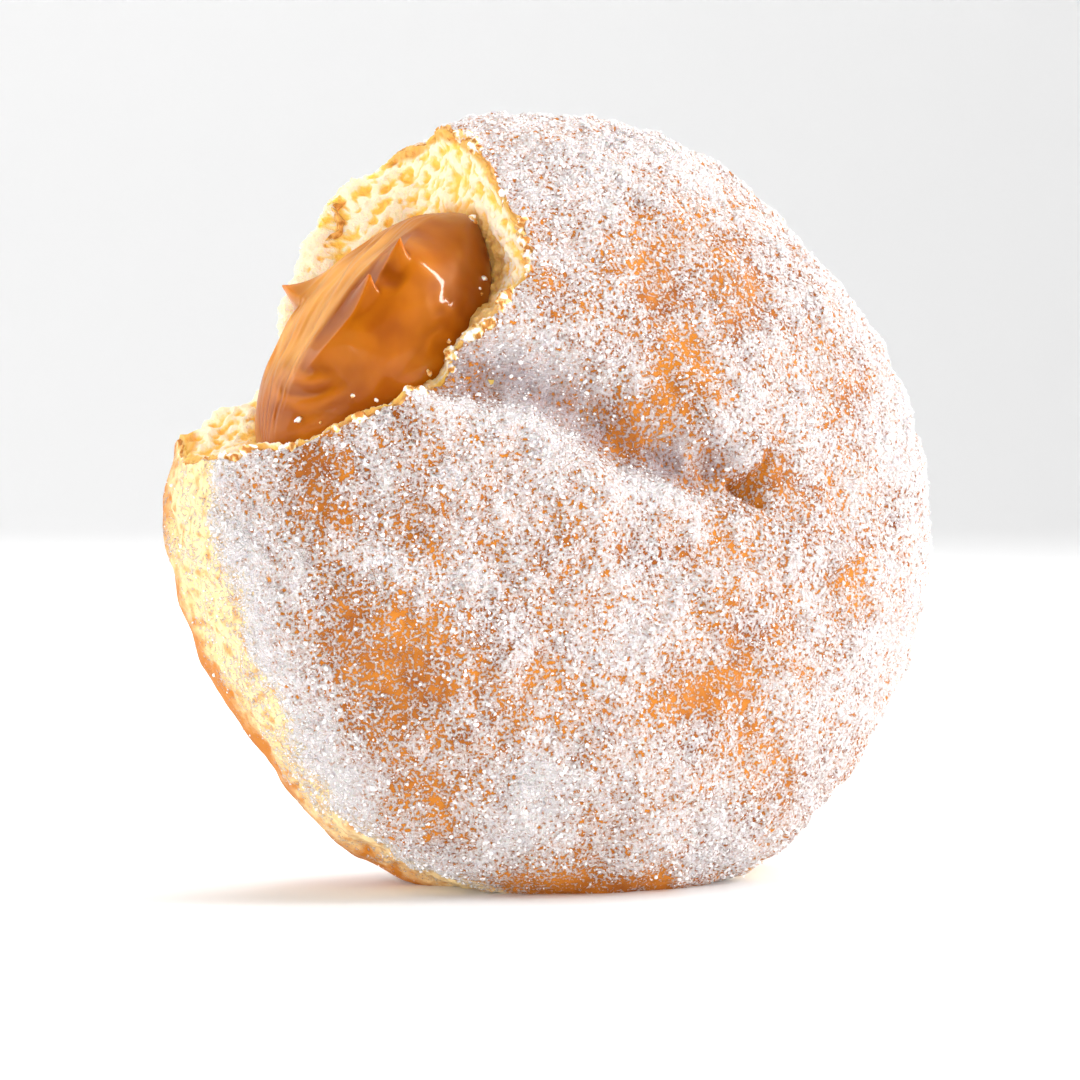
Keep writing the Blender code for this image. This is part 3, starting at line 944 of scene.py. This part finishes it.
def make_crumb_material():
    """Pale crumb, yellower in its bubbles, brown with filling and painted shade, fried at the crust."""
    material, tree, shader = new_material("crumb")
    fine = noise_pattern(tree, 2200.0, 3.0, 0.6)
    large = noise_pattern(tree, 260.0, 2.0)
    pit = do_math(tree, "MULTIPLY_ADD", fine, 0.35, read_attribute(tree, "hollow"))
    pit = do_math(tree, "MULTIPLY_ADD", large, 0.5, pit)
    colour = mix_colours(tree, ramp(tree, pit, 0.25, 0.70), PALE_CRUMB, YELLOW_CRUMB)
    colour = mix_colours(tree, ramp(tree, pit, 0.70, 1.20), colour, BUBBLE_YELLOW)
    soaked_and_shaded = ramp(tree, read_attribute(tree, "soaked_and_shaded"), 0.1, 1.0)
    # Browned where the filling soaks in, and painted shade beside the mound
    colour = mix_colours(tree, soaked_and_shaded, colour, SOAKED_AND_SHADED_CRUMB)
    fried = ramp(tree, read_attribute(tree, "under_crust"), 0.0013, 0.0007)
    colour = mix_colours(tree, fried, colour, FRIED_CRUMB)
    tree.links.new(colour, shader.inputs["Base Color"])
    add_bump(tree, shader, fine, 0.00035)
    set_finish(shader, Roughness=0.72)
    let_light_in(shader, 0.6, (1.0, 0.68, 0.26), 0.0022)
    return material


crumb_block = bitten_sheet(crumb_relief, 0.0, along_steps=290, face_steps=260)
close_towards(crumb_block, CRUMB_BACK)
fix_order(crumb_block)
crumb = piece_from(crumb_block, "crumb", [make_crumb_material()])
inside_of_crust = piece_from(make_bun(7, CRUST_THICKNESS, powdered=False), "inside_of_crust", [])
boolean(crumb, inside_of_crust, "INTERSECT")
crumb_places = bun_places(crumb.data)
store(crumb.data, "hollow", hollow_shares(crumb.data, 8, 0.00022))
store(crumb.data, "soaked_and_shaded", [near_filling(p) for p in crumb_places])
store(crumb.data, "under_crust", [under_crust(p) for p in crumb_places])
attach(crumb, "root")
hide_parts("dough")

# The loose crumbs
# Bits of torn crust and crumb, brown, yellow or white with sugar, that the bite pulled off. They
# hang along the torn front edge of the crust, most of them in clumps where the crease runs into it.
CRUMB_BROWN = (0.50, 0.19, 0.03)
CRUMB_YELLOW = (0.85, 0.55, 0.22)
CRUMB_SUGARED = (0.90, 0.84, 0.80)


def make_loose_crumb_material():
    material, tree, shader = new_material("loose_crumbs")
    each = noise_pattern(tree, 1100.0, 1.0)
    colour = mix_colours(tree, ramp(tree, each, 0.40, 0.48), CRUMB_BROWN, CRUMB_YELLOW)
    colour = mix_colours(tree, ramp(tree, each, 0.50, 0.56), colour, CRUMB_SUGARED)
    tree.links.new(colour, shader.inputs["Base Color"])
    set_finish(shader, Roughness=0.7)
    let_light_in(shader, 0.3, (1.0, 0.6, 0.25), 0.0006)
    return material


def at_front_edge(point):
    """1 along the front edge of the bite, most where it runs into the crease, and 0 elsewhere."""
    likely = smooth_step(0.0014, 0.0004, under_crust(point)) * smooth_step(0.006, 0.013, point.z)
    clumped = smooth_step(-0.10, 0.35, noise.noise(point / 0.0026))
    return likely * clumped * (0.25 + 1.4 * bell(point.dot(ALONG) - 0.0030, 0.0060))


loose_crumb_material = make_loose_crumb_material()
edge_likely = np.array([at_front_edge(place) + 0.0001 for place in bun_places(front_crust.data)])
crumb_ball = rough_ball(bmesh.ops.create_icosphere, subdivisions=2)
loose_crumbs = scatter(
    "loose_crumbs", front_crust, edge_likely, crumb_ball, 620, (0.00022, 0.00140), 21,
    loose_crumb_material, part=1, rough=0.4,
)
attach(loose_crumbs, "root")
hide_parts("dough")

# The filling
# Thick milk caramel cream, injected into a pocket in the bun. The bite has squeezed it out into a
# glossy mound and drawn it up into a crest, points and a torn sheet as the teeth pulled away.
POCKET_MIDDLE = (-0.001, 0.008, 0.001)
POCKET_RADII = (0.0240, 0.0150, 0.0080)
# Towards its upper end the mound's inner side is drawn in
TAPER = 0.0024
TAPER_ENDS = (0.0010, 0.0165)
# The mound's top breaks off in a crest on its outer side, which starts, is full, starts to fade and
# ends at these places along it, and is notched between two spikes
CREST_OUT = 0.0308
CREST_HEIGHT = 0.0026
CREST_ENDS = (-0.0125, -0.0045, 0.0050, 0.0105)
CREST_INNER_SIDE = 0.0080
CREST_OUTER_SIDE = 0.0013
NOTCH_ALONG = 0.0022
NOTCH_DEPTH = 0.0012
NOTCH_HALF_LENGTH = 0.0013
NOTCH_INNER_SIDE = 0.0024
# The spikes, each given by its place (along, out) and how far its back trails along the crest; they
# were pulled in a direction of their own (along, out, face)
SPIKES = ((-0.0007, 0.0309, 0.0036), (0.0048, 0.0306, 0.0042))
SPIKE_HEIGHT = 0.0020
SPIKE_FRONT = 0.0010
SPIKE_HALF_WIDTH = 0.0013
SPIKE_PULL = (0.74, 0.58, 0.34)
# Outside the crest the filling falls away in a hollow slope with long folds down it
SLOPE_ANGLE = math.radians(42)
SLOPE_HOLLOW = 0.0010
FOLD_HEIGHT = 0.0007
STREAK_HEIGHT = 0.00024
GENTLE_HEIGHT = 0.00028
RIPPLE_HEIGHT = 0.00026
# A torn sheet along the outer edge of the mound, which ends in an upturned tip
SHEET_TIP_ALONG = -0.0018
SHEET_LENGTH = 0.0065
SHEET_UNDERSIDE = 0.0012
SHEET_FACE = 0.0045
SHEET_HALF_WIDTH = 0.0012
SHEET_REACH = 0.0029
SHEET_CURL = 0.0002
SWIRL_MIDDLE = (-0.0098, 0.0312)
SWIRL_PITCH = 0.0027
SWIRL_HEIGHT = 0.0005
SWIRL_RADIUS = 0.0062


def crest_height(along, out):
    """The crest's height over the mound: long on its inner side and steep on its outer."""
    from_line = out - CREST_OUT
    start, full, fading, end = CREST_ENDS
    height = CREST_HEIGHT * smooth_step(start, full, along) * smooth_step(end, fading, along)
    side = CREST_INNER_SIDE if from_line < 0 else CREST_OUTER_SIDE
    height *= max(0.0, 1 - abs(from_line) / side) ** 1.3
    notch = NOTCH_DEPTH * bell(along - NOTCH_ALONG, NOTCH_HALF_LENGTH)
    return height - notch * max(0.0, 1 - abs(from_line) / NOTCH_INNER_SIDE)


def spike_height(along, out):
    """How far the filling was pulled up here, in the spikes' direction."""
    highest = 0.0
    for peak, line, back in SPIKES:
        run = (along - peak) / (SPIKE_FRONT if along > peak else back)
        across = (out - line) / SPIKE_HALF_WIDTH
        highest = max(highest, SPIKE_HEIGHT * max(0.0, 1 - math.hypot(run, across)) ** 1.5)
    return highest


def swirl_height(along, out):
    """A spiral fold round the mound's lower end, where the filling was stirred."""
    away = (along - SWIRL_MIDDLE[0], out - SWIRL_MIDDLE[1])
    radius = math.hypot(*away)
    turned = math.atan2(away[1], away[0])
    ripple = 0.5 + 0.5 * math.cos(2 * math.pi * radius / SWIRL_PITCH - turned)
    inside = smooth_step(SWIRL_RADIUS, 0.5 * SWIRL_RADIUS, radius)
    lower_side = smooth_step(0.0005, -0.0020, away[0])
    return SWIRL_HEIGHT * ripple * inside * lower_side


def sheet_reach(along, face):
    """How far the torn sheet stands out of the mound's outer edge."""
    past_tip = along - SHEET_TIP_ALONG
    if past_tip < 0:
        length = max(0.0, 1 + past_tip / SHEET_UNDERSIDE) ** 1.8
    else:
        length = max(0.0, 1 - past_tip / SHEET_LENGTH) ** 2.2
    return SHEET_REACH * length * bell(face - SHEET_FACE, SHEET_HALF_WIDTH)


def slope_depth(unit, along):
    """How deep the slope outside the crest is hollowed, with its long folds."""
    across = math.atan2(unit.z, unit.y) / SLOPE_ANGLE
    if not 0 < across < 1:
        return 0.0
    length = smooth_step(-0.0135, -0.0070, along) * smooth_step(0.0125, 0.0060, along)
    folds = noise.noise(Vector((along / 0.011, 2.7 * across + along / 0.009, 0.4)))
    hollow = SLOPE_HOLLOW - FOLD_HEIGHT * (0.35 - abs(folds)) * 2
    return length * math.sin(math.pi * across) ** 0.7 * hollow


def fine_folds(unit, along, out, face):
    """Smaller folds and streaks over the whole mound, high along them."""
    across = math.atan2(unit.z, unit.y) / SLOPE_ANGLE
    slope = smooth_step(-0.3, 0.1, across) * smooth_step(1.15, 0.9, across)
    streaks = noise.noise(Vector((along / 0.0085, 8.5 * across + along / 0.006, 1.7)))
    gentle = noise.noise(Vector((along, out, face)) / 0.0048)
    ripples = noise.noise(Vector((along / 0.0016, out / 0.0011, 3.1)))
    rippled = bell(along - 0.0020, 0.0045) * bell(out - 0.0224, 0.0032)
    height = STREAK_HEIGHT * (0.3 - abs(streaks)) * slope + GENTLE_HEIGHT * gentle
    return height + RIPPLE_HEIGHT * ripples * rippled


def mound_shape(unit, along, out, face):
    """Gives the mound its crest, spikes, swirl, hollow slope and torn sheet."""
    front = smooth_step(-0.1, 0.5, unit.z)
    outer = smooth_step(0.3, 0.8, unit.y)
    raised = front * (crest_height(along, out) + swirl_height(along, out))
    pulled = front * spike_height(along, out)
    hollow = slope_depth(unit, along) - fine_folds(unit, along, out, face)
    reach = outer * sheet_reach(along, face)
    drawn_in = TAPER * smooth_step(*TAPER_ENDS, along) * smooth_step(0.5, -0.4, unit.y)
    return (
        along + SPIKE_PULL[0] * pulled + SHEET_CURL * (reach / SHEET_REACH) ** 2,
        out + SPIKE_PULL[1] * pulled + reach + drawn_in - 0.75 * hollow,
        face + SPIKE_PULL[2] * pulled + raised - 0.66 * hollow,
    )


def is_detailed(unit):
    """Whether a place on the mound is near a spike, the crest or the sheet's tip."""
    along, out, face = (MOUND_MIDDLE[axis] + MOUND_RADII[axis] * unit[axis] for axis in range(3))
    on_crest = unit.z > 0 and abs(out - CREST_OUT - 0.0003) < 0.0012 and -0.010 < along < 0.009
    on_tip = unit.y > 0.5 and -0.0035 < along < 0.0030 and abs(face - SHEET_FACE) < 0.0024
    return on_crest or on_tip


def make_ellipsoid(name, middle, radii, subdivisions, materials, shape=None):
    bm = bmesh.new()
    bmesh.ops.create_icosphere(bm, subdivisions=subdivisions, radius=1)
    if shape:
        edges = [edge for edge in bm.edges if is_detailed((edge.verts[0].co + edge.verts[1].co) / 2)]
        bmesh.ops.subdivide_edges(bm, edges=edges, cuts=1)
        bmesh.ops.triangulate(bm, faces=bm.faces)
        for vertex in bm.verts:
            vertex.co.normalize()
    for vertex in bm.verts:
        unit = vertex.co.copy()
        place = [middle[axis] + radii[axis] * unit[axis] for axis in range(3)]
        if shape:
            place = shape(unit, *place)
        vertex.co = from_bite(*place)
    bmesh.ops.recalc_face_normals(bm, faces=bm.faces)
    return piece_from(bm, name, materials)


DEEP_CARAMEL = (0.25, 0.052, 0.001)
THIN_CARAMEL = (0.38, 0.102, 0.002)
STRETCHED_AND_SHEEN_CARAMEL = (0.76, 0.37, 0.10)


def make_caramel_material():
    """Glossy milk caramel: an amber shine in the cream, and a thin clear shine on top."""
    material, tree, shader = new_material("milk_caramel")
    cloudy = noise_pattern(tree, 180.0, 2.0)
    thin = do_math(tree, "MULTIPLY_ADD", read_attribute(tree, "hollow"), -0.6, cloudy)
    colour = mix_colours(tree, ramp(tree, thin, 0.3, 0.8), DEEP_CARAMEL, THIN_CARAMEL)
    # Paler where drawn out thin on the slope, and there also a painted reflection of the bright
    # surroundings
    colour = mix_colours(tree, read_attribute(tree, "stretched_and_sheen"), colour, STRETCHED_AND_SHEEN_CARAMEL)
    tree.links.new(colour, shader.inputs["Base Color"])
    add_bump(tree, shader, noise_pattern(tree, 700.0, 2.0), 0.00008, 0.25)
    set_finish(shader, Roughness=0.38, Specular_IOR_Level=0.40, Specular_Tint=(1.0, 0.50, 0.14, 1.0))
    set_finish(shader, Coat_Weight=0.30, Coat_Roughness=0.05)
    let_light_in(shader, 0.35, (1.0, 0.42, 0.10), 0.0022)
    return material


def stretched_and_sheen(point):
    """How far the filling is drawn out thin and pale, and painted with a reflection: 1 on the slope
    outside the crest.
    """
    along = point.dot(ALONG)
    outward = (point.dot(OUT) - MOUND_MIDDLE[1]) / MOUND_RADII[1]
    forward = (point.z - MOUND_MIDDLE[2]) / MOUND_RADII[2]
    across = math.atan2(forward, outward) / SLOPE_ANGLE
    slope = smooth_step(-0.5, 0.1, across) * smooth_step(1.12, 0.92, across) * (outward > 0)
    length = smooth_step(-0.0150, -0.0080, along) * smooth_step(0.0150, 0.0060, along)
    blotched = 0.75 + 0.5 * noise.noise(Vector((along / 0.005, 4 * across, 0)))
    return 0.9 * blotched * slope * length


caramel = make_caramel_material()
filling = make_ellipsoid("caramel_filling", MOUND_MIDDLE, MOUND_RADII, 7, [caramel], mound_shape)
boolean(filling, make_ellipsoid("pocket", POCKET_MIDDLE, POCKET_RADII, 5, [caramel]), "UNION")
store(filling.data, "hollow", hollow_shares(filling.data, 12, 0.0002))
store(filling.data, "stretched_and_sheen", [stretched_and_sheen(place) for place in bun_places(filling.data)])
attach(filling, "root")
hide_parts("filling")

# The fallen crumbs
# A few bits of torn crumb, of the same kinds as those along the edge, that dropped onto the sticky
# caramel and stayed where it meets the dough.
def beside_crumb(point):
    """1 on the front of the filling where it meets the torn crumb, and 0 further up the mound."""
    stands_out = point.dot(OUT) - bite_out(point.dot(ALONG), point.z)
    near = smooth_step(0.0032, 0.0014, stands_out) * smooth_step(-0.0002, 0.0004, stands_out)
    return near * smooth_step(0.007, 0.011, point.z)


filling_likely = np.array([beside_crumb(place) for place in bun_places(filling.data)])
fallen_crumbs = scatter(
    "fallen_crumbs", filling, filling_likely, crumb_ball, 16, (0.00030, 0.00100), 31,
    loose_crumb_material, rough=0.4,
)
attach(fallen_crumbs, "root")
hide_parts("dough")

# The studio
# A white floor that curves up into a backdrop, soft lights all round, and a camera at the height of
# the doughnut, a little to the left of straight in front of it. The narrow tall light at the right
# makes the filling's highlight, and the lights that would dull it don't shine on glossy things.
CAMERA_AZIMUTH = math.radians(-18)
CAMERA_ELEVATION = math.radians(2)
LENS = 110
SENSOR = 36
IMAGE_SIDE = 1080
PIXELS_PER_METRE = 9000
# How far the bun's middle is right of and above the picture's centre, in the photo's pixels
MIDDLE_RIGHT = 8
MIDDLE_UP = 38
FLOOR_RADIUS = 1.2
SWEEP_RADIUS = 0.6
SWEEP_STEPS = 12


def make_camera():
    back = Vector(
        (
            math.sin(CAMERA_AZIMUTH) * math.cos(CAMERA_ELEVATION),
            -math.cos(CAMERA_AZIMUTH) * math.cos(CAMERA_ELEVATION),
            math.sin(CAMERA_ELEVATION),
        )
    )
    right = Vector((math.cos(CAMERA_AZIMUTH), math.sin(CAMERA_AZIMUTH), 0))
    up = back.cross(right)
    distance = LENS / SENSOR * IMAGE_SIDE / PIXELS_PER_METRE
    aside = (right * MIDDLE_RIGHT + up * MIDDLE_UP) / PIXELS_PER_METRE
    data = bpy.data.cameras.new("camera")
    data.lens = LENS
    data.sensor_width = SENSOR
    data.clip_start = 0.01
    camera = bpy.data.objects.new("camera", data)
    turned = Matrix((right, up, back)).transposed().to_4x4()
    camera.matrix_world = Matrix.Translation(BUN_MIDDLE + back * distance - aside) @ turned
    bpy.context.scene.collection.objects.link(camera)
    bpy.context.scene.camera = camera


def make_floor():
    """One sheet: a wide round floor whose edge sweeps up all the way round."""
    bm = bmesh.new()
    bmesh.ops.create_circle(bm, cap_ends=True, segments=96, radius=FLOOR_RADIUS)
    edges = [edge for edge in bm.edges if edge.is_boundary]
    for step in range(1, SWEEP_STEPS + 1):
        angle = math.radians(90) * step / SWEEP_STEPS
        ring = bmesh.ops.extrude_edge_only(bm, edges=edges)
        edges = [item for item in ring["geom"] if isinstance(item, bmesh.types.BMEdge)]
        reach = FLOOR_RADIUS + SWEEP_RADIUS * math.sin(angle)
        for vertex in {vertex for edge in edges for vertex in edge.verts}:
            vertex.co.xy = vertex.co.xy.normalized() * reach
            vertex.co.z = SWEEP_RADIUS * (1 - math.cos(angle))
    mesh = bpy.data.meshes.new("floor")
    bmesh.ops.recalc_face_normals(bm, faces=bm.faces)
    bm.to_mesh(mesh)
    bm.free()
    mesh.shade_smooth()
    material, _, shader = new_material("white_floor")
    set_finish(shader, Base_Color=(0.93, 0.93, 0.93, 1), Roughness=0.8)
    mesh.materials.append(material)
    floor = bpy.data.objects.new("floor", mesh)
    bpy.context.scene.collection.objects.link(floor)
    floor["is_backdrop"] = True


def make_light(name, place, size, watts, aim=BUN_MIDDLE, height=None, shines=True):
    """A soft light, square or tall, that faces the doughnut or another place.

    One that doesn't shine lights the doughnut, but isn't seen in glossy things.
    """
    data = bpy.data.lights.new(name, "AREA")
    data.energy = watts
    data.shape = "RECTANGLE"
    data.size = size
    data.size_y = height or size
    light = bpy.data.objects.new(name, data)
    light.location = place
    light.visible_glossy = shines
    light.rotation_euler = (Vector(aim) - Vector(place)).to_track_quat("-Z", "Y").to_euler()
    bpy.context.scene.collection.objects.link(light)


make_camera()
make_floor()
make_light("tall_softbox", (0.56, -0.27, 0.27), 0.052, 5.4, height=0.64)
make_light("top_key", (0.30, -0.05, 0.62), 0.28, 1.45, shines=False)
make_light("low_fill", (-0.22, -0.50, -0.02), 0.40, 4.6, shines=False)
make_light("right_rim", (0.50, 0.24, 0.16), 0.35, 1.4)
make_light("top_rim", (0.22, 0.34, 0.50), 0.50, 1.8, shines=False)
make_light("left_panel", (-0.50, 0.12, 0.24), 0.50, 1.9)
make_light("backdrop_light", (0.0, 0.45, 1.10), 0.60, 12.5, aim=(0.0, 1.60, 0.15), shines=False)

world = bpy.data.worlds.new("studio")
world.use_nodes = True
background = world.node_tree.nodes["Background"]
direction = add_node(world.node_tree, "ShaderNodeTexCoord").outputs["Generated"]
away = add_node(world.node_tree, "ShaderNodeSeparateXYZ", Vector=direction).outputs["Y"]
share = ramp(world.node_tree, away, -0.5, 0.4)
strength = do_math(world.node_tree, "MULTIPLY_ADD", share, 0.45, 0.10)
world.node_tree.links.new(strength, background.inputs["Strength"])
background.inputs["Color"].default_value = (1, 1, 1, 1)
bpy.context.scene.world = world
bpy.context.scene.view_settings.view_transform = "Standard"

visual_low, visual_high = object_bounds()
sizes = {
    "cad": [list(cad_low), list(cad_high)],
    "visual": [list(visual_low), list(visual_high)],
}
